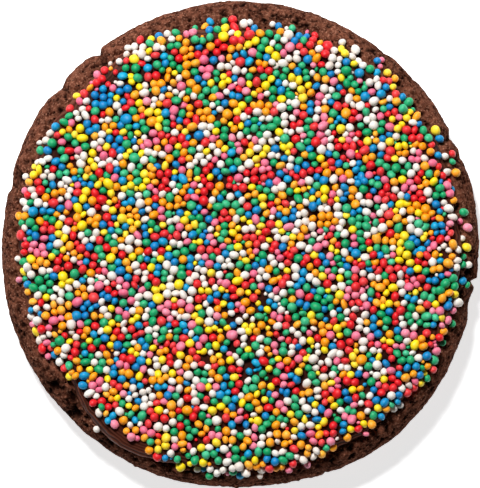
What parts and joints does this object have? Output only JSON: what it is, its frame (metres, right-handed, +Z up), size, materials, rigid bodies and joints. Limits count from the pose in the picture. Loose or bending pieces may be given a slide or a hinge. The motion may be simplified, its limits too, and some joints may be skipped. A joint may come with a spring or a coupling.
{
  "type": "sprinkle cookie",
  "caption": "Round dark chocolate biscuit with a layer of chocolate icing covered all over in small round sugar sprinkles in bright mixed colours.",
  "frame": {"origin": "on the underside, at the middle of the biscuit's width and depth", "axes": "+Z up through the thickness, out of the iced face; +Y towards the side of the cookie that faces the top of the picture; +X towards its right side"},
  "size_m": [0.0868, 0.0884, 0.0131],
  "materials": {
    "biscuit": "dry matte baked chocolate crumb with fine pores and cracks",
    "icing": "smooth set dark chocolate icing, softly glossy",
    "sprinkle_white": "satin sugar shell",
    "sprinkle_yellow": "satin sugar shell",
    "sprinkle_orange": "satin sugar shell",
    "sprinkle_red": "satin sugar shell",
    "sprinkle_pink": "satin sugar shell",
    "sprinkle_green": "satin sugar shell",
    "sprinkle_blue": "satin sugar shell"
  },
  "bodies": {
    "root": {"biscuit": "biscuit", "icing": "icing"}
  },
  "joints": []
}
